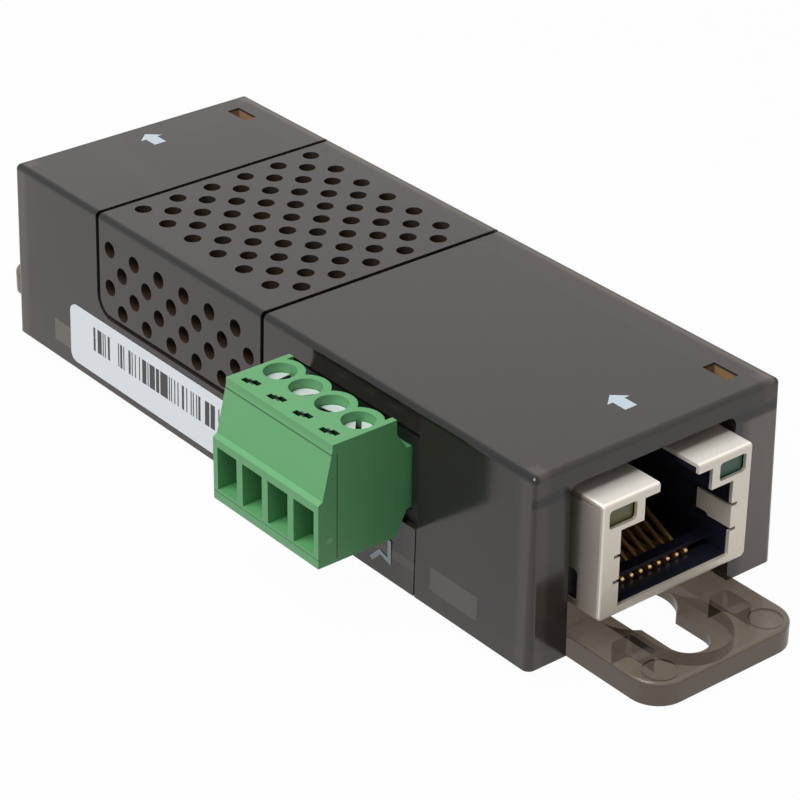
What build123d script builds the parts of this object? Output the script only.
from build123d import *
import os
from math import cos, radians, sin, tan

os.makedirs("parts", exist_ok=True)

# A clip-together probe: a vented cover over a base with two keyhole ears, a board
# with a modular jack sunk into each end, and a pluggable four-way screw terminal.
# Millimetres. +Z is up, the device jack faces -Y, the sensor jack +Y, the terminal -X.

# Housing
HOUSE_LENGTH = 74.4
HOUSE_WIDTH = 27.0
RIM_Z = 1.3
DRAFT = 1.2
WALL = 1.6
ROOF = 1.5
LINTEL = 1.93
CORNER_R = 0.7
TOP_EDGE_R = 0.5

# Jack doorway in each end wall, snug on one side of the jack and wide on the other
DOOR_HEADROOM = 1.32
DOOR_WIDE_GAP = 1.4
DOOR_SNUG_GAP = 0.2
DOOR_CORNER_R = 0.9
GATE_HEADROOM = 0.5

# Vent field and the groove that frames it
VENT_MARGIN = 3.8
VENT_R = 0.8
VENT_COLUMNS = 6
VENT_SIDE_ROWS = 2
VENT_Y = 10.79
VENT_SIDE_DROP = 3.01
GROOVE_HALF_LENGTH = 12.62
GROOVE_WIDTH = 0.5
GROOVE_DEPTH = 0.45
GROOVE_DROP = 10.1
GROOVE_CORNER_R = 2.2

# Light windows in the roof
WINDOW_WIDTH = 1.4
WINDOW_LENGTH = 2.85
WINDOW_INSET = 3.2
WINDOW_BACK = 3.8

# Base and ears
EAR_HALF_WIDTH = 8.4
DEVICE_EAR_OUT = 9.5
SENSOR_EAR_OUT = 11.5
EAR_THICK = 2.2
EAR_CORNER_R = 2.8
EAR_EDGE_R = 0.35
PLINTH_HALF_WIDTH = 9.0
PLINTH_BACK = 4.2
FLOOR_THICK = 1.5
KEY_HEAD_R = 3.83
KEY_SLOT_R = 1.98
KEY_INSET = 5.1
KEY_TRAVEL = 6.6
KEY_LIP = 1.0
PORT_WIDTH = 2.26
PORT_LENGTH = 3.25
PORT_X = 5.49
PORT_INSET = 5.7
PORT_R = 0.45
DISC_R = 1.5
DISC_X = 6.0
DISC_INSET = 2.1
DISC_DEPTH = 0.15

# Snap arms of the base and their pockets in the cover
SNAP_WIDTH = 5.6
SNAP_BACK = 9.1
SNAP_ARM = 1.1
SNAP_LOW_Z = 3.1
SNAP_HIGH_Z = 5.2
SNAP_BITE = 0.55

# Fits
FIT = 0.15
SLIP = 0.08
PLAY = 0.2

# Circuit board
BOARD_THICK = 1.6
BOARD_TOP_Z = 7.9
BOARD_GAP = 0.8
BOARD_END_GAP = 1.0
POST_R = 2.0
PEG_R = 0.95
PEG_RISE = 0.7
POST_INSET = 2.1
POST_BEHIND_DEVICE = 3.4
POST_BEHIND_SENSOR = 6.5
POST_BESIDE = 12.7

# Modular jack, in a frame with its mouth looking outwards
JACK_HALF_WIDTH = 8.34
JACK_FLOOR_Z = 4.9
JACK_TOP_Z = 15.85
DEVICE_JACK_OUT = 2.4
SENSOR_JACK_OUT = 5.5
JACK_DEPTH = 15.4
SHEET = 0.35
FOLD_R = 0.3
MOUTH_HALF_WIDTH = 6.24
MOUTH_LOW_Z = 5.75
MOUTH_STEP_Z = 12.95
LATCH_HALF_WIDTH = 3.75
LATCH_STEP_Z = 15.0
LATCH_GAP_HALF = 2.15
LATCH_GAP_BACK = 2.8
CAVITY_BACK = 3.2
LAMP_X = 6.1
LAMP_Z = 14.27
LAMP_WIDTH = 3.0
LAMP_HEIGHT = 1.72
LAMP_CORNER_R = 0.35
LAMP_DEPTH = 9.0
LAMP_SINK = 0.45
CONTACT_COUNT = 8
CONTACT_PITCH = 1.02
CONTACT_WIDTH = 0.32
CONTACT_THICK = 0.25
CONTACT_FOLD_BACK = 2.2
CONTACT_FLAT = 1.6
CONTACT_TIP_GAP = 1.6
CONTACT_RISE = 3.3
CONTACT_WELL = 1.2
CONTACT_TAIL = 1.6
COMB_THICK = 0.35
FINGER_LOW_Z = 8.2
FINGER_HIGH_Z = 10.6
FINGER_LENGTH = 4.0
FINGER_THICK = 0.25
FINGER_SINK = 0.35
NOTCH_WIDTH = 0.3
NOTCH_REACH = 0.65
SEAM_HEIGHT = 0.25
SEAM_LENGTH = 6.0
SIDE_SLOT_BACK = 3.4
SIDE_SLOT_WIDTH = 1.6
SIDE_SLOT_LOW_Z = 5.6
SIDE_SLOT_HIGH_Z = 8.6
SIDE_SLOT_R = 0.4
TAB_REACH = 1.4
TAB_LENGTH = 2.4
TAB_BACK = 11.0

# Pluggable terminal
POLES = 4
POLE_PITCH = 3.5
PLUG_LENGTH = 14.4
PLUG_TOP_Z = 18.0
PLUG_FOOT_Z = 6.85
PLUG_NOSE_OUT = 9.4
PLUG_LIP_OUT = 7.93
PLUG_SHOULDER_OUT = 1.3
PLUG_BACK_OUT = 0.25
PLUG_SHOULDER_Z = 16.68
PLUG_NOSE_Z = 12.8
PLUG_LIP_DROP = 0.55
ENTRY_WIDTH = 2.7
ENTRY_LOW_Z = 7.95
ENTRY_HIGH_Z = 12.05
ENTRY_DEPTH = 1.9
ENTRY_NECK = 0.25
SCREW_OUT = 3.76
WELL_R = 1.46
COLLAR_R = 2.15
HEAD_R = 1.38
HEAD_THICK = 1.0
HEAD_SINK = 0.9
SHANK_R = 0.95
SLOT_WIDTH = 0.5
SLOT_DEPTH = 0.5
SCREW_TURNS = [6, -25, -77, 50]
CAGE_LENGTH = 3.3
CAGE_WIDTH = 2.7
CAGE_LOW_Z = 7.35
CAGE_WALL = 0.35
CHAMBER_TOP_Z = 15.6
BAR_WIDTH = 1.6
BAR_THICK = 0.4
SHOULDER_SLOT_OUT = 6.74
SHOULDER_SLOT_LONG = 1.75
SHOULDER_SLOT_WIDE = 0.55
SHOULDER_SLOT_DEEP = 0.6
POST_END = 0.6

# Terminal header on the board
HEADER_LENGTH = 16.9
HEADER_BESIDE = 1.15
HEADER_INSET = 0.2
HEADER_DEPTH = 8.0
HEADER_HEIGHT = 8.4
HEADER_WALL = 1.05
HEADER_PIN = 0.7
HEADER_PIN_Z = 11.0
HEADER_PIN_REACH = 5.2
HEADER_TAIL_X = 1.3
HEADER_TAIL_DROP = 1.2

# Label
LABEL_BESIDE = 2.8
LABEL_END = 9.0
LABEL_HIGH = 6.0
LABEL_LOW_Z = 2.1
LABEL_R = 0.9
LABEL_THICK = 0.12

# Heights and places that follow from the sizes above
DRAFT_SLOPE = tan(radians(DRAFT))
DOOR_TOP_Z = JACK_TOP_Z + DOOR_HEADROOM
TOP_Z = DOOR_TOP_Z + LINTEL
SHELL_HEIGHT = TOP_Z - RIM_Z
RIM_WIDTH = HOUSE_WIDTH + 2 * SHELL_HEIGHT * DRAFT_SLOPE
RIM_LENGTH = HOUSE_LENGTH + 2 * SHELL_HEIGHT * DRAFT_SLOPE
ROOF_Z = TOP_Z - ROOF
BOARD_FOOT_Z = BOARD_TOP_Z - BOARD_THICK
FLOOR_TOP_Z = RIM_Z + FLOOR_THICK
GROOVE_FOOT_Z = TOP_Z - GROOVE_DROP
VENT_PITCH = (HOUSE_WIDTH - 2 * VENT_MARGIN) / (VENT_COLUMNS - 1)
VENT_SIDE_ROW_Z = TOP_Z - VENT_SIDE_DROP
WINDOW_X = HOUSE_WIDTH / 2 - WINDOW_INSET
WINDOW_Y = HOUSE_LENGTH / 2 - WINDOW_BACK
SNAP_Y = HOUSE_LENGTH / 2 - SNAP_BACK
JACK_FACE_Y = HOUSE_LENGTH / 2 + DEVICE_JACK_OUT
SENSOR_FACE_Y = HOUSE_LENGTH / 2 + SENSOR_JACK_OUT
DEVICE_BACK_Y = JACK_DEPTH - JACK_FACE_Y
SENSOR_BACK_Y = SENSOR_FACE_Y - JACK_DEPTH
CAVITY_DEPTH = JACK_DEPTH - CAVITY_BACK
LATCH_GAP_DEPTH = JACK_DEPTH - LATCH_GAP_BACK
TERMINAL_Y = DEVICE_BACK_Y + HEADER_BESIDE + HEADER_LENGTH / 2
DOOR_LENGTH = HEADER_LENGTH + 2 * FIT
LABEL_START_Y = TERMINAL_Y + DOOR_LENGTH / 2 + LABEL_BESIDE
LABEL_LONG = HOUSE_LENGTH / 2 - LABEL_END - LABEL_START_Y
DEVICE_EAR_REACH = HOUSE_LENGTH / 2 + DEVICE_EAR_OUT
SENSOR_EAR_REACH = HOUSE_LENGTH / 2 + SENSOR_EAR_OUT
PLUG_NOSE_X = -(HOUSE_WIDTH / 2 + PLUG_NOSE_OUT)
PLUG_LIP_X = -(HOUSE_WIDTH / 2 + PLUG_LIP_OUT)
PLUG_SHOULDER_X = -(HOUSE_WIDTH / 2 + PLUG_SHOULDER_OUT)
PLUG_BACK_X = -(HOUSE_WIDTH / 2 + PLUG_BACK_OUT)
SCREW_X = -(HOUSE_WIDTH / 2 + SCREW_OUT)
SHOULDER_SLOT_X = -(HOUSE_WIDTH / 2 + SHOULDER_SLOT_OUT)
HEADER_FRONT_X = HEADER_INSET - HOUSE_WIDTH / 2

# The origin is the middle of the whole probe's footprint, plug and ears included
HOUSE_X = -(PLUG_NOSE_X + RIM_WIDTH / 2) / 2
HOUSE_Y = (DEVICE_EAR_REACH - SENSOR_EAR_REACH) / 2


def half_width(z):
    """Outer half width of the drafted cover at a height."""
    return HOUSE_WIDTH / 2 + (TOP_Z - z) * DRAFT_SLOPE


def half_length(z):
    """Outer half length of the drafted cover at a height."""
    return HOUSE_LENGTH / 2 + (TOP_Z - z) * DRAFT_SLOPE


def level(z, x=0.0, y=0.0):
    """Horizontal plane, its origin on the housing's own centre line."""
    return Plane(origin=(HOUSE_X + x, HOUSE_Y + y, z))


def across(y, x=0.0, z=0.0):
    """Upright plane that looks along +Y: local x is X, local y is Z."""
    return Plane(origin=(HOUSE_X + x, HOUSE_Y + y, z), x_dir=(1, 0, 0), z_dir=(0, -1, 0))


def along(x, y=0.0, z=0.0):
    """Upright plane that faces +X: local x is Y, local y is Z."""
    return Plane(origin=(HOUSE_X + x, HOUSE_Y + y, z), x_dir=(0, 1, 0), z_dir=(1, 0, 0))


def flank(side, y=0.0):
    """Plane on the drafted outer side wall, origin at its top edge, local y up the wall."""
    lean = radians(DRAFT)
    return Plane(
        origin=(HOUSE_X + side * HOUSE_WIDTH / 2, HOUSE_Y + y, TOP_Z),
        x_dir=(0, side, 0),
        z_dir=(side * cos(lean), 0, sin(lean)),
    )


# Upright axis midway between the two jacks: half a turn about it swaps them
MIDWAY = Axis((HOUSE_X, HOUSE_Y + (SENSOR_FACE_Y - JACK_FACE_Y) / 2, 0), (0, 0, 1))
pole_spots = [TERMINAL_Y + (POLES - 1) * POLE_PITCH / 2 - i * POLE_PITCH for i in range(POLES)]
door_top_z = BOARD_TOP_Z + HEADER_HEIGHT + GATE_HEADROOM
inner_half_rim = half_width(RIM_Z) - WALL
jack_door_width = 2 * JACK_HALF_WIDTH + DOOR_WIDE_GAP + DOOR_SNUG_GAP
jack_door_shift = (DOOR_WIDE_GAP - DOOR_SNUG_GAP) / 2
jack_door_height = DOOR_TOP_Z - RIM_Z + 2 * DOOR_CORNER_R

# The cover: drafted shell with vents, framed by a shallow groove
with BuildPart() as cover:
    with BuildSketch(level(RIM_Z)):
        RectangleRounded(RIM_WIDTH, RIM_LENGTH, CORNER_R)
    extrude(amount=SHELL_HEIGHT, taper=DRAFT)
    fillet(cover.faces().sort_by(Axis.Z)[-1].edges(), radius=TOP_EDGE_R)
    with BuildSketch(level(RIM_Z)):
        RectangleRounded(RIM_WIDTH - 2 * WALL, RIM_LENGTH - 2 * WALL, CORNER_R / 2)
    extrude(amount=SHELL_HEIGHT - ROOF, taper=DRAFT, mode=Mode.SUBTRACT)
    # Doorways for the two jacks, open at the foot
    for end in (-1, 1):
        with BuildSketch(across(end * HOUSE_LENGTH / 2, x=end * jack_door_shift, z=DOOR_TOP_Z)):
            with Locations((0, -jack_door_height / 2)):
                RectangleRounded(jack_door_width, jack_door_height, DOOR_CORNER_R)
        extrude(amount=2 * WALL, both=True, mode=Mode.SUBTRACT)
    # Gate for the terminal, also open at the foot
    with BuildSketch(along(-HOUSE_WIDTH / 2, y=TERMINAL_Y, z=RIM_Z)):
        with Locations((0, (door_top_z - RIM_Z) / 2)):
            Rectangle(DOOR_LENGTH, door_top_z - RIM_Z)
    extrude(amount=2 * WALL, both=True, mode=Mode.SUBTRACT)
    # Groove over the roof and down both flanks
    with BuildSketch(level(TOP_Z, y=VENT_Y)):
        with Locations((0, GROOVE_HALF_LENGTH), (0, -GROOVE_HALF_LENGTH)):
            Rectangle(HOUSE_WIDTH + 2, GROOVE_WIDTH)
    extrude(amount=-GROOVE_DEPTH, mode=Mode.SUBTRACT)
    for side in (-1, 1):
        with BuildSketch(flank(side, y=VENT_Y)):
            with Locations((0, 0)):
                RectangleRounded(
                    2 * GROOVE_HALF_LENGTH + GROOVE_WIDTH,
                    2 * (TOP_Z - GROOVE_FOOT_Z) + GROOVE_WIDTH,
                    GROOVE_CORNER_R,
                )
                RectangleRounded(
                    2 * GROOVE_HALF_LENGTH - GROOVE_WIDTH,
                    2 * (TOP_Z - GROOVE_FOOT_Z) - GROOVE_WIDTH,
                    GROOVE_CORNER_R - GROOVE_WIDTH,
                    mode=Mode.SUBTRACT,
                )
        extrude(amount=-GROOVE_DEPTH, mode=Mode.SUBTRACT)
    # Staggered vents: a full grid and a second one a half pitch off
    with BuildSketch(level(ROOF_Z, y=VENT_Y)):
        with Locations((0, VENT_PITCH / 4)):
            with GridLocations(VENT_PITCH, VENT_PITCH, VENT_COLUMNS, VENT_COLUMNS):
                Circle(VENT_R)
        with Locations((0, -VENT_PITCH / 4)):
            with GridLocations(VENT_PITCH, VENT_PITCH, VENT_COLUMNS - 1, VENT_COLUMNS):
                Circle(VENT_R)
    extrude(amount=ROOF, mode=Mode.SUBTRACT)
    for side in (-1, 1):
        with BuildSketch(flank(side, y=VENT_Y)):
            with Locations((side * VENT_PITCH / 4, VENT_SIDE_ROW_Z - TOP_Z - VENT_PITCH / 2)):
                with GridLocations(VENT_PITCH, VENT_PITCH, VENT_COLUMNS, VENT_SIDE_ROWS):
                    Circle(VENT_R)
            with Locations((-side * VENT_PITCH / 4, VENT_SIDE_ROW_Z - TOP_Z - VENT_PITCH)):
                with GridLocations(VENT_PITCH, VENT_PITCH, VENT_COLUMNS, VENT_SIDE_ROWS):
                    Circle(VENT_R)
        extrude(amount=-2 * WALL, mode=Mode.SUBTRACT)
    # Light windows beside the jacks
    with BuildSketch(level(ROOF_Z)):
        with Locations((WINDOW_X, WINDOW_Y), (WINDOW_X, -WINDOW_Y)):
            Rectangle(WINDOW_WIDTH, WINDOW_LENGTH)
    extrude(amount=ROOF, mode=Mode.SUBTRACT)
    # Pockets inside the side walls for the snap hooks
    for spot in (-SNAP_Y, SNAP_Y):
        with BuildSketch(across(spot)):
            for side in (-1, 1):
                with Locations((side * (inner_half_rim + SNAP_BITE / 2), (SNAP_LOW_Z + SNAP_HIGH_Z) / 2)):
                    Rectangle(SNAP_BITE + 2 * FIT, SNAP_HIGH_Z - SNAP_LOW_Z)
        extrude(amount=SNAP_WIDTH / 2 + FIT, both=True, mode=Mode.SUBTRACT)
cover.part.label = "cover"
export_step(cover.part, "parts/cover.step")

# The base: plinth, floor, both ears, board posts, snap arms and terminal sill in one moulding
floor_half_width = inner_half_rim - FIT
floor_half_length = half_length(RIM_Z) - WALL - FIT
arm_face = half_width(SNAP_HIGH_Z) - WALL - FIT
arm_back = arm_face - SNAP_ARM
arm_top_z = SNAP_HIGH_Z + 0.4
hook_tip = inner_half_rim + SNAP_BITE - FIT
sill_length = DOOR_LENGTH - 2 * FIT
sill_top_z = BOARD_TOP_Z - FIT
sill_face = half_width(sill_top_z)
board_half_width = half_width(BOARD_TOP_Z) - WALL - BOARD_GAP
post_x = board_half_width - POST_INSET
post_spots = [
    (post_x, DEVICE_BACK_Y + POST_BEHIND_DEVICE),
    (post_x, SENSOR_BACK_Y - POST_BEHIND_SENSOR),
    (-post_x, SENSOR_BACK_Y - POST_BEHIND_SENSOR),
    (-post_x, TERMINAL_Y + POST_BESIDE),
]
with BuildPart() as base:
    with BuildSketch(level(0)):
        Rectangle(2 * PLINTH_HALF_WIDTH, HOUSE_LENGTH - 2 * PLINTH_BACK)
    extrude(amount=RIM_Z)
    with BuildSketch(level(RIM_Z)):
        RectangleRounded(2 * floor_half_width, 2 * floor_half_length, CORNER_R / 2)
    extrude(amount=FLOOR_THICK)
    with BuildSketch(level(0, y=-HOUSE_Y)):
        RectangleRounded(2 * EAR_HALF_WIDTH, DEVICE_EAR_REACH + SENSOR_EAR_REACH, EAR_CORNER_R)
    extrude(amount=EAR_THICK)
    ear_rim = base.edges().filter_by_position(Axis.Z, EAR_THICK - 0.01, EAR_THICK + 0.01)
    fillet([e for e in ear_rim if abs(e.center().Y - HOUSE_Y) > floor_half_length + 1], radius=EAR_EDGE_R)
    for end, reach in ((-1, DEVICE_EAR_REACH), (1, SENSOR_EAR_REACH)):
        key_end_y = reach - KEY_INSET
        key_head_y = key_end_y - KEY_TRAVEL
        # Keyhole: the sunk track for a screw head, then the head hole and the slot
        with BuildSketch(level(KEY_LIP, y=end * (key_head_y + key_end_y) / 2)):
            SlotCenterToCenter(KEY_TRAVEL, 2 * KEY_HEAD_R, rotation=90)
        extrude(amount=FLOOR_TOP_Z, mode=Mode.SUBTRACT)
        with BuildSketch(level(0)):
            with Locations((0, end * key_head_y)):
                Circle(KEY_HEAD_R)
            with Locations((0, end * (key_head_y + key_end_y) / 2)):
                SlotCenterToCenter(KEY_TRAVEL, 2 * KEY_SLOT_R, rotation=90)
            with Locations((PORT_X, end * (reach - PORT_INSET)), (-PORT_X, end * (reach - PORT_INSET))):
                RectangleRounded(PORT_WIDTH, PORT_LENGTH, PORT_R)
        extrude(amount=EAR_THICK, mode=Mode.SUBTRACT)
        with BuildSketch(level(EAR_THICK)):
            with Locations((DISC_X, end * (reach - DISC_INSET)), (-DISC_X, end * (reach - DISC_INSET))):
                Circle(DISC_R)
        extrude(amount=-DISC_DEPTH, mode=Mode.SUBTRACT)
    # Posts and pegs that carry the board
    with BuildSketch(level(FLOOR_TOP_Z)):
        with Locations(*post_spots):
            Circle(POST_R)
    extrude(amount=BOARD_FOOT_Z - FLOOR_TOP_Z)
    with BuildSketch(level(BOARD_FOOT_Z)):
        with Locations(*post_spots):
            Circle(PEG_R)
    extrude(amount=BOARD_THICK + PEG_RISE)
    # Snap arms, each with a wedge hook that rests on the foot of its pocket
    for spot in (-SNAP_Y, SNAP_Y):
        with BuildSketch(across(spot)):
            for side in (-1, 1):
                with BuildLine():
                    Polyline(
                        (side * arm_back, RIM_Z + FLOOR_THICK / 2),
                        (side * arm_back, arm_top_z),
                        (side * arm_face, arm_top_z),
                        (side * arm_face, SNAP_HIGH_Z - FIT),
                        (side * hook_tip, SNAP_LOW_Z + SNAP_BITE),
                        (side * hook_tip, SNAP_LOW_Z),
                        (side * arm_face, SNAP_LOW_Z),
                        (side * arm_face, RIM_Z + FLOOR_THICK / 2),
                        close=True,
                    )
                make_face()
        extrude(amount=SNAP_WIDTH / 2, both=True)
    # Sill that closes the gate below the terminal, flush with the drafted wall
    with BuildSketch(across(TERMINAL_Y)):
        with BuildLine():
            Polyline(
                (-half_width(RIM_Z), RIM_Z),
                (-sill_face, sill_top_z),
                (-sill_face + WALL, sill_top_z),
                (-sill_face + WALL, FLOOR_TOP_Z),
                (-sill_face + 3 * WALL, FLOOR_TOP_Z),
                (-sill_face + 3 * WALL, RIM_Z),
                close=True,
            )
        make_face()
    extrude(amount=sill_length / 2, both=True)
base.part.label = "base"
export_step(base.part, "parts/base.step")

# The board, notched at both ends for the sunk jacks
jack_back_y = JACK_FACE_Y - JACK_DEPTH
board_half_length = HOUSE_LENGTH / 2 - WALL - BOARD_END_GAP
device_notch = board_half_length - (JACK_FACE_Y - JACK_DEPTH - PLAY)
sensor_notch = board_half_length - (SENSOR_FACE_Y - JACK_DEPTH - PLAY)
header_back_x = HEADER_FRONT_X + HEADER_DEPTH
pin_tail_x = header_back_x + HEADER_TAIL_X
with BuildPart() as circuit_board:
    with BuildSketch(level(BOARD_FOOT_Z)):
        Rectangle(2 * board_half_width, 2 * board_half_length)
        with Locations((0, device_notch / 2 - board_half_length)):
            Rectangle(2 * (JACK_HALF_WIDTH + PLAY), device_notch, mode=Mode.SUBTRACT)
        with Locations((0, board_half_length - sensor_notch / 2)):
            Rectangle(2 * (JACK_HALF_WIDTH + PLAY), sensor_notch, mode=Mode.SUBTRACT)
        with Locations(*post_spots):
            Circle(PEG_R + FIT, mode=Mode.SUBTRACT)
        with Locations(*[(pin_tail_x, y) for y in pole_spots]):
            Circle(HEADER_PIN / 2 + PLAY, mode=Mode.SUBTRACT)
    extrude(amount=BOARD_THICK)
circuit_board.part.label = "circuit_board"
export_step(circuit_board.part, "parts/circuit_board.step")

# The device jack, facing -Y: a folded shield, a moulded insert, eight wires, two light pipes
jack_middle_z = (JACK_FLOOR_Z + JACK_TOP_Z) / 2
jack_height = JACK_TOP_Z - JACK_FLOOR_Z
contact_span = CONTACT_COUNT * CONTACT_PITCH
contact_tail_z = BOARD_TOP_Z + CONTACT_THICK / 2
well_y = CAVITY_DEPTH - JACK_FACE_Y + CONTACT_WELL
fold_y = CONTACT_FOLD_BACK - JACK_FACE_Y
run_top_z = MOUTH_LOW_Z + CONTACT_THICK
comb_z = run_top_z + CONTACT_THICK + SLIP
comb_length = CONTACT_FLAT - 2 * CONTACT_THICK
comb_y = fold_y + CONTACT_FLAT / 2


def mouth_outline(top_z):
    """The stepped plug opening with the latch gap running up to a height."""
    return Polyline(
        (-MOUTH_HALF_WIDTH, MOUTH_LOW_Z),
        (-MOUTH_HALF_WIDTH, MOUTH_STEP_Z),
        (-LATCH_HALF_WIDTH, MOUTH_STEP_Z),
        (-LATCH_HALF_WIDTH, LATCH_STEP_Z),
        (-LATCH_GAP_HALF, LATCH_STEP_Z),
        (-LATCH_GAP_HALF, top_z),
        (LATCH_GAP_HALF, top_z),
        (LATCH_GAP_HALF, LATCH_STEP_Z),
        (LATCH_HALF_WIDTH, LATCH_STEP_Z),
        (LATCH_HALF_WIDTH, MOUTH_STEP_Z),
        (MOUTH_HALF_WIDTH, MOUTH_STEP_Z),
        (MOUTH_HALF_WIDTH, MOUTH_LOW_Z),
        close=True,
    )


with BuildPart() as device_jack_shield:
    with BuildSketch(across(-JACK_FACE_Y, z=jack_middle_z)):
        Rectangle(2 * JACK_HALF_WIDTH, jack_height)
    extrude(amount=-JACK_DEPTH)
    long_edges = device_jack_shield.edges().filter_by(Axis.Y).sort_by(Axis.Z)
    chamfer(long_edges[0:2], length=SHEET)
    fillet(long_edges[2:4], radius=SHEET)
    fillet(device_jack_shield.faces().sort_by(Axis.Y)[0].edges(), radius=FOLD_R)
    with BuildSketch(across(SHEET - JACK_FACE_Y, z=jack_middle_z)):
        Rectangle(2 * (JACK_HALF_WIDTH - SHEET), jack_height - 2 * SHEET)
    extrude(amount=2 * SHEET - JACK_DEPTH, mode=Mode.SUBTRACT)
    with BuildSketch(across(-JACK_FACE_Y)):
        with BuildLine():
            mouth_outline(JACK_TOP_Z)
        make_face()
        with Locations((-LAMP_X, LAMP_Z), (LAMP_X, LAMP_Z)):
            RectangleRounded(LAMP_WIDTH, LAMP_HEIGHT, LAMP_CORNER_R)
        with Locations((0, FINGER_LOW_Z), (0, FINGER_HIGH_Z)):
            Rectangle(2 * (MOUTH_HALF_WIDTH + NOTCH_REACH), NOTCH_WIDTH)
    extrude(amount=-SHEET, mode=Mode.SUBTRACT)
    # Spring fingers folded back along both inner walls
    with BuildSketch(across(-JACK_FACE_Y, z=(FINGER_LOW_Z + FINGER_HIGH_Z) / 2)):
        for side in (-1, 1):
            with Locations((side * (MOUTH_HALF_WIDTH + FINGER_THICK / 2), 0)):
                Rectangle(FINGER_THICK, FINGER_HIGH_Z - FINGER_LOW_Z - NOTCH_WIDTH)
    extrude(amount=-FINGER_LENGTH)
    with BuildSketch(level(JACK_TOP_Z, y=LATCH_GAP_DEPTH / 2 - JACK_FACE_Y)):
        Rectangle(2 * LATCH_GAP_HALF, LATCH_GAP_DEPTH)
    extrude(amount=-SHEET, mode=Mode.SUBTRACT)
    with BuildSketch(along(0, y=SIDE_SLOT_BACK - JACK_FACE_Y, z=(SIDE_SLOT_LOW_Z + SIDE_SLOT_HIGH_Z) / 2)):
        RectangleRounded(SIDE_SLOT_WIDTH, SIDE_SLOT_HIGH_Z - SIDE_SLOT_LOW_Z, SIDE_SLOT_R)
    extrude(amount=JACK_HALF_WIDTH, both=True, mode=Mode.SUBTRACT)
    # Open seam where each side sheet meets the folded top sheet
    seam_y = SHEET + PLAY + SEAM_LENGTH / 2 - JACK_FACE_Y
    with BuildSketch(along(0, y=seam_y, z=JACK_TOP_Z - SHEET - SEAM_HEIGHT / 2)):
        Rectangle(SEAM_LENGTH, SEAM_HEIGHT)
    extrude(amount=JACK_HALF_WIDTH, both=True, mode=Mode.SUBTRACT)
    # Way out for the contact tails, and the tabs that rest on the board
    with BuildSketch(across(-jack_back_y, z=contact_tail_z)):
        Rectangle(contact_span, 2 * PLAY + CONTACT_THICK)
    extrude(amount=SHEET, both=True, mode=Mode.SUBTRACT)
    with BuildSketch(level(BOARD_TOP_Z, y=TAB_BACK - JACK_FACE_Y)):
        for side in (-1, 1):
            with Locations((side * (JACK_HALF_WIDTH + TAB_REACH / 2 - SHEET / 2), 0)):
                Rectangle(TAB_REACH + SHEET, TAB_LENGTH)
    extrude(amount=SHEET)
device_jack_shield.part.label = "device_jack_shield"
export_step(device_jack_shield.part, "parts/device_jack_shield.step")

with BuildPart() as device_jack_insert:
    with BuildSketch(across(SHEET - JACK_FACE_Y, z=jack_middle_z - SLIP / 2)):
        Rectangle(2 * (JACK_HALF_WIDTH - SHEET - SLIP), jack_height - 2 * SHEET - SLIP)
    extrude(amount=2 * SHEET + SLIP - JACK_DEPTH)
    with BuildSketch(across(-JACK_FACE_Y)):
        with BuildLine():
            mouth_outline(JACK_TOP_Z)
        make_face()
    extrude(amount=-CAVITY_DEPTH, mode=Mode.SUBTRACT)
    with BuildSketch(across(-JACK_FACE_Y)):
        with Locations((-LAMP_X, LAMP_Z), (LAMP_X, LAMP_Z)):
            Rectangle(LAMP_WIDTH, LAMP_HEIGHT)
    extrude(amount=-LAMP_DEPTH, mode=Mode.SUBTRACT)
    # Recesses for the spring fingers
    with BuildSketch(across(-JACK_FACE_Y, z=(FINGER_LOW_Z + FINGER_HIGH_Z) / 2)):
        Rectangle(
            2 * (MOUTH_HALF_WIDTH + FINGER_THICK + FINGER_SINK),
            FINGER_HIGH_Z - FINGER_LOW_Z + NOTCH_WIDTH,
        )
    extrude(amount=-(FINGER_LENGTH + PLAY), mode=Mode.SUBTRACT)
    # Comb bar over the folded front ends of the wires
    with BuildSketch(along(0, y=comb_y, z=comb_z + COMB_THICK / 2)):
        Rectangle(comb_length, COMB_THICK)
    extrude(amount=MOUTH_HALF_WIDTH + SHEET, both=True)
    # Passage for the contacts: along the floor, up the well, out at the back
    with BuildSketch(along(0)):
        with BuildLine():
            Polyline(
                (well_y - CONTACT_WELL - SHEET, MOUTH_LOW_Z),
                (well_y, MOUTH_LOW_Z),
                (well_y, contact_tail_z - CONTACT_THICK),
                (-jack_back_y, contact_tail_z - CONTACT_THICK),
                (-jack_back_y, contact_tail_z + CONTACT_THICK),
                (well_y - CONTACT_WELL / 2, contact_tail_z + CONTACT_THICK),
                (well_y - CONTACT_WELL / 2, MOUTH_LOW_Z + CONTACT_WELL / 2),
                (well_y - CONTACT_WELL - SHEET, MOUTH_LOW_Z + CONTACT_WELL / 2),
                close=True,
            )
        make_face()
    extrude(amount=contact_span / 2, both=True, mode=Mode.SUBTRACT)
device_jack_insert.part.label = "device_jack_insert"
export_step(device_jack_insert.part, "parts/device_jack_insert.step")

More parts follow.
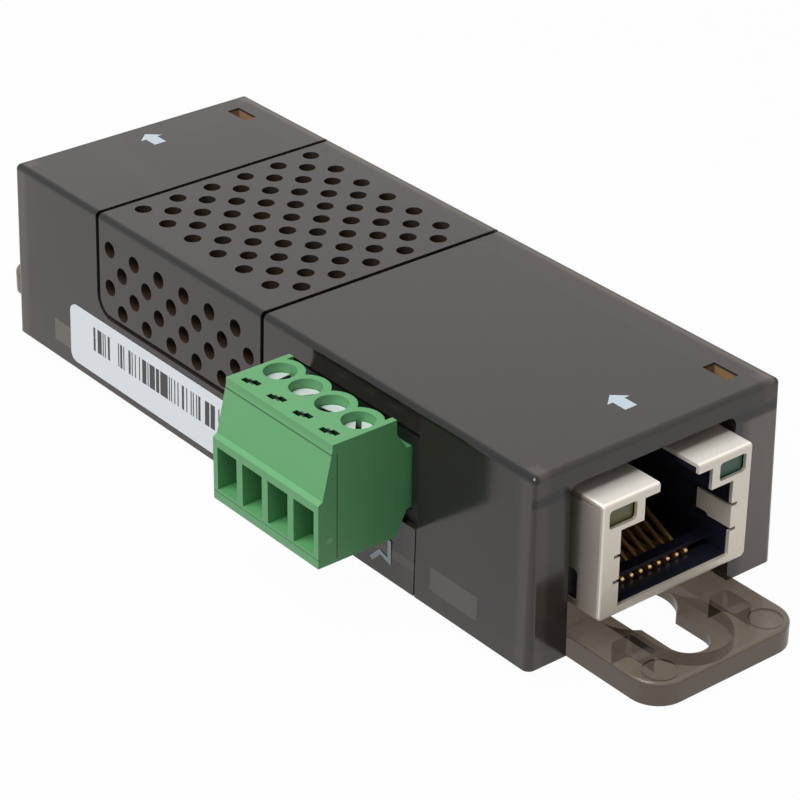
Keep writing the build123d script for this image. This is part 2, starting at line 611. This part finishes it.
# One wire: tail on the board, down the well, along the floor, folded back flat, then rising
kink_y = fold_y + CONTACT_FLAT
wire_back_y = CAVITY_DEPTH - CONTACT_TIP_GAP - JACK_FACE_Y
wire_back_z = run_top_z + CONTACT_THICK + CONTACT_RISE
with BuildPart() as device_jack_contacts:
    with BuildSketch(along(0)):
        with BuildLine():
            Polyline(
                (CONTACT_TAIL - jack_back_y, BOARD_TOP_Z),
                (CONTACT_TAIL - jack_back_y, BOARD_TOP_Z + CONTACT_THICK),
                (well_y - SLIP - CONTACT_THICK, BOARD_TOP_Z + CONTACT_THICK),
                (well_y - SLIP - CONTACT_THICK, run_top_z),
                (kink_y, run_top_z),
                (wire_back_y, wire_back_z - CONTACT_THICK),
                (wire_back_y - CONTACT_THICK / 3, wire_back_z),
                (kink_y - CONTACT_THICK / 2, run_top_z + CONTACT_THICK),
                (fold_y + CONTACT_THICK, run_top_z + CONTACT_THICK),
            )
            ThreePointArc(
                (fold_y + CONTACT_THICK, run_top_z + CONTACT_THICK),
                (fold_y, run_top_z),
                (fold_y + CONTACT_THICK, MOUTH_LOW_Z),
            )
            Polyline(
                (fold_y + CONTACT_THICK, MOUTH_LOW_Z),
                (well_y - SLIP, MOUTH_LOW_Z),
                (well_y - SLIP, BOARD_TOP_Z),
                (CONTACT_TAIL - jack_back_y, BOARD_TOP_Z),
            )
        make_face()
    wire = extrude(amount=CONTACT_WIDTH / 2, both=True, mode=Mode.PRIVATE)
    with GridLocations(CONTACT_PITCH, 1, CONTACT_COUNT, 1):
        add(wire)
device_jack_contacts.part.label = "device_jack_contacts"
export_step(device_jack_contacts.part, "parts/device_jack_contacts.step")

lamp_bottom_z = LAMP_Z - SLIP / 2
with BuildPart() as device_jack_led_left:
    with BuildSketch(across(LAMP_SINK - JACK_FACE_Y, x=-LAMP_X, z=lamp_bottom_z)):
        Rectangle(LAMP_WIDTH - 2 * SLIP, LAMP_HEIGHT - SLIP)
    extrude(amount=LAMP_SINK - LAMP_DEPTH)
device_jack_led_left.part.label = "device_jack_led_left"
export_step(device_jack_led_left.part, "parts/device_jack_led_left.step")

with BuildPart() as device_jack_led_right:
    with BuildSketch(across(LAMP_SINK - JACK_FACE_Y, x=LAMP_X, z=lamp_bottom_z)):
        Rectangle(LAMP_WIDTH - 2 * SLIP, LAMP_HEIGHT - SLIP)
    extrude(amount=LAMP_SINK - LAMP_DEPTH)
device_jack_led_right.part.label = "device_jack_led_right"
export_step(device_jack_led_right.part, "parts/device_jack_led_right.step")

# The sensor jack is the same jack turned end for end; it stands further out
with BuildPart() as sensor_jack_shield:
    add(device_jack_shield.part.rotate(MIDWAY, 180))
sensor_jack_shield.part.label = "sensor_jack_shield"
export_step(sensor_jack_shield.part, "parts/sensor_jack_shield.step")

with BuildPart() as sensor_jack_insert:
    add(device_jack_insert.part.rotate(MIDWAY, 180))
sensor_jack_insert.part.label = "sensor_jack_insert"
export_step(sensor_jack_insert.part, "parts/sensor_jack_insert.step")

with BuildPart() as sensor_jack_contacts:
    add(device_jack_contacts.part.rotate(MIDWAY, 180))
sensor_jack_contacts.part.label = "sensor_jack_contacts"
export_step(sensor_jack_contacts.part, "parts/sensor_jack_contacts.step")

with BuildPart() as sensor_jack_led_left:
    add(device_jack_led_left.part.rotate(MIDWAY, 180))
sensor_jack_led_left.part.label = "sensor_jack_led_left"
export_step(sensor_jack_led_left.part, "parts/sensor_jack_led_left.step")

with BuildPart() as sensor_jack_led_right:
    add(device_jack_led_right.part.rotate(MIDWAY, 180))
sensor_jack_led_right.part.label = "sensor_jack_led_right"
export_step(sensor_jack_led_right.part, "parts/sensor_jack_led_right.step")

# Terminal header: an open-fronted box on the board with four pins through its back
header_middle_z = BOARD_TOP_Z + HEADER_HEIGHT / 2
with BuildPart() as terminal_header:
    with BuildSketch(along(HEADER_FRONT_X, y=TERMINAL_Y, z=header_middle_z)):
        Rectangle(HEADER_LENGTH, HEADER_HEIGHT)
    extrude(amount=HEADER_DEPTH)
    with BuildSketch(along(HEADER_FRONT_X, y=TERMINAL_Y, z=header_middle_z)):
        Rectangle(HEADER_LENGTH - 2 * HEADER_WALL, HEADER_HEIGHT - 2 * HEADER_WALL)
    extrude(amount=HEADER_DEPTH - HEADER_WALL, mode=Mode.SUBTRACT)
    with BuildSketch(along(header_back_x, z=HEADER_PIN_Z)):
        with Locations(*[(y, 0) for y in pole_spots]):
            Rectangle(HEADER_PIN, HEADER_PIN)
    extrude(amount=-HEADER_WALL, mode=Mode.SUBTRACT)
terminal_header.part.label = "terminal_header"
export_step(terminal_header.part, "parts/terminal_header.step")

# Right-angle pins: level in the header, then down through the board
pin_tip_x = header_back_x - HEADER_WALL - HEADER_PIN_REACH
pin_foot_z = BOARD_FOOT_Z - HEADER_TAIL_DROP
with BuildPart() as terminal_header_pins:
    for y in pole_spots:
        with BuildSketch(across(y)):
            with BuildLine():
                Polyline(
                    (pin_tip_x, HEADER_PIN_Z + HEADER_PIN / 2),
                    (pin_tail_x + HEADER_PIN / 2, HEADER_PIN_Z + HEADER_PIN / 2),
                    (pin_tail_x + HEADER_PIN / 2, pin_foot_z),
                    (pin_tail_x - HEADER_PIN / 2, pin_foot_z),
                    (pin_tail_x - HEADER_PIN / 2, HEADER_PIN_Z - HEADER_PIN / 2),
                    (pin_tip_x, HEADER_PIN_Z - HEADER_PIN / 2),
                    close=True,
                )
            make_face()
        extrude(amount=HEADER_PIN / 2, both=True)
terminal_header_pins.part.label = "terminal_header_pins"
export_step(terminal_header_pins.part, "parts/terminal_header_pins.step")

# The plug: a stepped profile with wells, wire entries, cage chambers and a tongue
tongue_end_x = header_back_x - HEADER_WALL
tongue_low_z = BOARD_TOP_Z + HEADER_WALL + PLAY
tongue_high_z = BOARD_TOP_Z + HEADER_HEIGHT - HEADER_WALL - PLAY
entry_middle_z = (ENTRY_LOW_Z + ENTRY_HIGH_Z) / 2
entry_height = ENTRY_HIGH_Z - ENTRY_LOW_Z
seat_z = PLUG_TOP_Z - HEAD_SINK - HEAD_THICK
cage_inner_width = CAGE_WIDTH - 2 * CAGE_WALL
bar_low_z = HEADER_PIN_Z + HEADER_PIN / 2
bar_top_z = bar_low_z + BAR_THICK
chamber_width = CAGE_WIDTH + 2 * SLIP
chamber_length = CAGE_LENGTH + 2 * PLAY
chamber_low_z = CAGE_LOW_Z
with BuildPart() as plug_body:
    with BuildSketch(across(TERMINAL_Y)):
        with BuildLine():
            Polyline(
                (PLUG_LIP_X, PLUG_TOP_Z),
                (PLUG_LIP_X, PLUG_TOP_Z - PLUG_LIP_DROP),
                (PLUG_NOSE_X + HEAD_SINK / 2, PLUG_NOSE_Z + PLUG_LIP_DROP / 2),
                (PLUG_NOSE_X, PLUG_NOSE_Z),
                (PLUG_NOSE_X, PLUG_FOOT_Z),
                (PLUG_SHOULDER_X, PLUG_FOOT_Z),
                (PLUG_BACK_X, tongue_low_z - PLAY),
                (PLUG_BACK_X, tongue_low_z),
                (tongue_end_x, tongue_low_z),
                (tongue_end_x, tongue_high_z),
                (PLUG_BACK_X, tongue_high_z),
                (PLUG_SHOULDER_X, PLUG_SHOULDER_Z),
                (PLUG_SHOULDER_X, PLUG_TOP_Z),
                close=True,
            )
        make_face()
    extrude(amount=PLUG_LENGTH / 2, both=True)
    # Scalloped rear edge: a round collar behind each screw, a post at each end
    with BuildSketch(level(PLUG_SHOULDER_Z, y=TERMINAL_Y)):
        with Locations(((SCREW_X + PLUG_SHOULDER_X) / 2, 0)):
            Rectangle(PLUG_SHOULDER_X - SCREW_X, PLUG_LENGTH - 2 * POST_END)
        with Locations(*[(SCREW_X, y - TERMINAL_Y) for y in pole_spots]):
            Circle(COLLAR_R, mode=Mode.SUBTRACT)
    extrude(amount=PLUG_TOP_Z - PLUG_SHOULDER_Z, mode=Mode.SUBTRACT)
    # Screw wells and the bores below them
    with BuildSketch(level(PLUG_TOP_Z)):
        with Locations(*[(SCREW_X, y) for y in pole_spots]):
            Circle(WELL_R)
    extrude(amount=seat_z - PLUG_TOP_Z, mode=Mode.SUBTRACT)
    with BuildSketch(level(seat_z)):
        with Locations(*[(SCREW_X, y) for y in pole_spots]):
            Circle(SHANK_R + SLIP)
    extrude(amount=CHAMBER_TOP_Z - seat_z, mode=Mode.SUBTRACT)
    with BuildSketch(level(chamber_low_z)):
        with Locations(*[(SCREW_X, y) for y in pole_spots]):
            Rectangle(chamber_length, chamber_width)
    extrude(amount=CHAMBER_TOP_Z - chamber_low_z, mode=Mode.SUBTRACT)
    # Wire entries, with a narrower neck into each chamber
    with BuildSketch(along(PLUG_NOSE_X, z=entry_middle_z)):
        with Locations(*[(y, 0) for y in pole_spots]):
            Rectangle(ENTRY_WIDTH, entry_height)
    extrude(amount=ENTRY_DEPTH, mode=Mode.SUBTRACT)
    with BuildSketch(along(PLUG_NOSE_X, z=entry_middle_z)):
        with Locations(*[(y, 0) for y in pole_spots]):
            Rectangle(ENTRY_WIDTH - 2 * ENTRY_NECK, entry_height - 2 * ENTRY_NECK)
    extrude(amount=SCREW_X - PLUG_NOSE_X, mode=Mode.SUBTRACT)
    # Ways for the header pins and for the contact bars above them
    with BuildSketch(along(tongue_end_x)):
        with Locations(*[(y, HEADER_PIN_Z) for y in pole_spots]):
            Rectangle(HEADER_PIN + PLAY, HEADER_PIN + PLAY)
        with Locations(*[(y, (bar_low_z + bar_top_z) / 2) for y in pole_spots]):
            Rectangle(BAR_WIDTH, BAR_THICK)
    extrude(amount=SCREW_X - tongue_end_x, mode=Mode.SUBTRACT)
    # Small stepped slots in the top, one in front of each screw
    with BuildSketch(level(PLUG_TOP_Z)):
        for y in pole_spots:
            with Locations((SHOULDER_SLOT_X + PLAY, y - SHOULDER_SLOT_LONG / 4)):
                Rectangle(SHOULDER_SLOT_WIDE, SHOULDER_SLOT_LONG / 2)
            with Locations((SHOULDER_SLOT_X - PLAY, y + SHOULDER_SLOT_LONG / 4)):
                Rectangle(SHOULDER_SLOT_WIDE, SHOULDER_SLOT_LONG / 2)
    extrude(amount=-SHOULDER_SLOT_DEEP, mode=Mode.SUBTRACT)
plug_body.part.label = "plug_body"
export_step(plug_body.part, "parts/plug_body.step")

# Contact bars: each runs from its clamp to the top of its header pin
bar_front_x = SCREW_X - CAGE_LENGTH / 2
bar_back_x = pin_tip_x + HEADER_PIN_REACH - PLAY
with BuildPart() as plug_contacts:
    for y in pole_spots:
        with BuildSketch(along(bar_front_x, y=y, z=(bar_low_z + bar_top_z) / 2)):
            Rectangle(BAR_WIDTH, BAR_THICK)
        extrude(amount=bar_back_x - bar_front_x)
plug_contacts.part.label = "plug_contacts"
export_step(plug_contacts.part, "parts/plug_contacts.step")


def clamp_screw(y, turn):
    """A slotted screw in its well, its tip on the contact bar."""
    with BuildPart() as screw:
        with BuildSketch(level(bar_top_z, x=SCREW_X, y=y)):
            Circle(SHANK_R)
        extrude(amount=seat_z - bar_top_z)
        with BuildSketch(level(seat_z, x=SCREW_X, y=y)):
            Circle(HEAD_R)
        extrude(amount=HEAD_THICK)
        with BuildSketch(level(seat_z + HEAD_THICK, x=SCREW_X, y=y)):
            Rectangle(2 * HEAD_R + 1, SLOT_WIDTH, rotation=turn)
        extrude(amount=-SLOT_DEPTH, mode=Mode.SUBTRACT)
    return screw.part


def clamp_cage(y):
    """A rising cage: a square tube across the wire, threaded on the screw."""
    with BuildPart() as cage:
        with BuildSketch(along(bar_front_x, y=y)):
            with BuildLine():
                Polyline(
                    (-CAGE_WIDTH / 2, CAGE_LOW_Z),
                    (CAGE_WIDTH / 2, CAGE_LOW_Z),
                    (CAGE_WIDTH / 2, cage_top_z),
                    (-CAGE_WIDTH / 2, cage_top_z),
                    close=True,
                )
            make_face()
            with Locations((0, (CAGE_LOW_Z + cage_top_z) / 2)):
                Rectangle(cage_inner_width, cage_top_z - CAGE_LOW_Z - 2 * CAGE_WALL, mode=Mode.SUBTRACT)
        extrude(amount=CAGE_LENGTH)
        with BuildSketch(level(cage_top_z, x=SCREW_X, y=y)):
            Circle(SHANK_R + SLIP)
        extrude(amount=-CAGE_WALL, mode=Mode.SUBTRACT)
    return cage.part


cage_top_z = bar_top_z + FIT + CAGE_WALL

with BuildPart() as terminal_screw_1:
    add(clamp_screw(pole_spots[0], SCREW_TURNS[0]))
terminal_screw_1.part.label = "terminal_screw_1"
export_step(terminal_screw_1.part, "parts/terminal_screw_1.step")

with BuildPart() as terminal_screw_2:
    add(clamp_screw(pole_spots[1], SCREW_TURNS[1]))
terminal_screw_2.part.label = "terminal_screw_2"
export_step(terminal_screw_2.part, "parts/terminal_screw_2.step")

with BuildPart() as terminal_screw_3:
    add(clamp_screw(pole_spots[2], SCREW_TURNS[2]))
terminal_screw_3.part.label = "terminal_screw_3"
export_step(terminal_screw_3.part, "parts/terminal_screw_3.step")

with BuildPart() as terminal_screw_4:
    add(clamp_screw(pole_spots[3], SCREW_TURNS[3]))
terminal_screw_4.part.label = "terminal_screw_4"
export_step(terminal_screw_4.part, "parts/terminal_screw_4.step")

with BuildPart() as terminal_clamp_1:
    add(clamp_cage(pole_spots[0]))
terminal_clamp_1.part.label = "terminal_clamp_1"
export_step(terminal_clamp_1.part, "parts/terminal_clamp_1.step")

with BuildPart() as terminal_clamp_2:
    add(clamp_cage(pole_spots[1]))
terminal_clamp_2.part.label = "terminal_clamp_2"
export_step(terminal_clamp_2.part, "parts/terminal_clamp_2.step")

with BuildPart() as terminal_clamp_3:
    add(clamp_cage(pole_spots[2]))
terminal_clamp_3.part.label = "terminal_clamp_3"
export_step(terminal_clamp_3.part, "parts/terminal_clamp_3.step")

with BuildPart() as terminal_clamp_4:
    add(clamp_cage(pole_spots[3]))
terminal_clamp_4.part.label = "terminal_clamp_4"
export_step(terminal_clamp_4.part, "parts/terminal_clamp_4.step")

# Label on the flank, below the vents
label_drop = (TOP_Z - LABEL_LOW_Z - LABEL_HIGH / 2) / cos(radians(DRAFT))
with BuildPart() as label:
    with BuildSketch(flank(-1, y=LABEL_START_Y + LABEL_LONG / 2)):
        with Locations((0, -label_drop)):
            RectangleRounded(LABEL_LONG, LABEL_HIGH, LABEL_R)
    extrude(amount=LABEL_THICK)
label.part.label = "label"
export_step(label.part, "parts/label.step")



def device_spot(x, distance):
    """Place on the board, so far behind the back of the device jack."""
    return (x, DEVICE_BACK_Y + distance)


def sensor_spot(x, distance):
    """Place on the board, so far behind the back of the sensor jack."""
    return (x, SENSOR_BACK_Y - distance)


# Parts soldered on the board as (width, length, height), with the climate sensor below the vents
MICRO_SIZE = (7.0, 7.0, 1.4)
MICRO_SPOT = device_spot(2.0, 12.2)
CLIMATE_SIZE = (2.5, 2.5, 0.9)
CLIMATE_SPOT = sensor_spot(0.0, 15.8)
TRANSCEIVER_SIZE = (4.0, 5.0, 1.5)
TRANSCEIVER_SPOTS = [device_spot(4.5, 5.6), sensor_spot(-3.0, 8.9)]
CRYSTAL_SIZE = (5.0, 3.2, 1.3)
CRYSTAL_SPOT = device_spot(2.0, 19.7)
CAPACITOR_SIZE = (1.25, 2.0, 1.2)
CAPACITOR_SPOTS = [device_spot(8.0, distance) for distance in (10.2, 14.2, 18.2)]
CAPACITOR_SPOTS += [device_spot(-8.0, distance) for distance in (30.2, 34.2)]
RESISTOR_SIZE = (0.8, 1.6, 0.5)
RESISTOR_SPOTS = [device_spot(x, distance) for x in (6.0, 8.0) for distance in (25.2, 29.2)]
RESISTOR_SPOTS += [sensor_spot(-5.0, distance) for distance in (13.3, 16.3, 19.3)]

with BuildPart() as microcontroller:
    with BuildSketch(level(BOARD_TOP_Z)):
        with Locations(MICRO_SPOT):
            Rectangle(MICRO_SIZE[0], MICRO_SIZE[1])
    extrude(amount=MICRO_SIZE[2])
microcontroller.part.label = "microcontroller"
export_step(microcontroller.part, "parts/microcontroller.step")

with BuildPart() as climate_sensor:
    with BuildSketch(level(BOARD_TOP_Z)):
        with Locations(CLIMATE_SPOT):
            Rectangle(CLIMATE_SIZE[0], CLIMATE_SIZE[1])
    extrude(amount=CLIMATE_SIZE[2])
    with BuildSketch(level(BOARD_TOP_Z + CLIMATE_SIZE[2])):
        with Locations(CLIMATE_SPOT):
            Circle(0.5)
    extrude(amount=-0.4, mode=Mode.SUBTRACT)
climate_sensor.part.label = "climate_sensor"
export_step(climate_sensor.part, "parts/climate_sensor.step")

with BuildPart() as transceivers:
    with BuildSketch(level(BOARD_TOP_Z)):
        with Locations(*TRANSCEIVER_SPOTS):
            Rectangle(TRANSCEIVER_SIZE[0], TRANSCEIVER_SIZE[1])
    extrude(amount=TRANSCEIVER_SIZE[2])
transceivers.part.label = "transceivers"
export_step(transceivers.part, "parts/transceivers.step")

with BuildPart() as crystal:
    with BuildSketch(level(BOARD_TOP_Z)):
        with Locations(CRYSTAL_SPOT):
            RectangleRounded(CRYSTAL_SIZE[0], CRYSTAL_SIZE[1], 0.5)
    extrude(amount=CRYSTAL_SIZE[2])
crystal.part.label = "crystal"
export_step(crystal.part, "parts/crystal.step")

with BuildPart() as capacitors:
    with BuildSketch(level(BOARD_TOP_Z)):
        with Locations(*CAPACITOR_SPOTS):
            Rectangle(CAPACITOR_SIZE[0], CAPACITOR_SIZE[1])
    extrude(amount=CAPACITOR_SIZE[2])
capacitors.part.label = "capacitors"
export_step(capacitors.part, "parts/capacitors.step")

with BuildPart() as resistors:
    with BuildSketch(level(BOARD_TOP_Z)):
        with Locations(*RESISTOR_SPOTS):
            Rectangle(RESISTOR_SIZE[0], RESISTOR_SIZE[1])
    extrude(amount=RESISTOR_SIZE[2])
resistors.part.label = "resistors"
export_step(resistors.part, "parts/resistors.step")
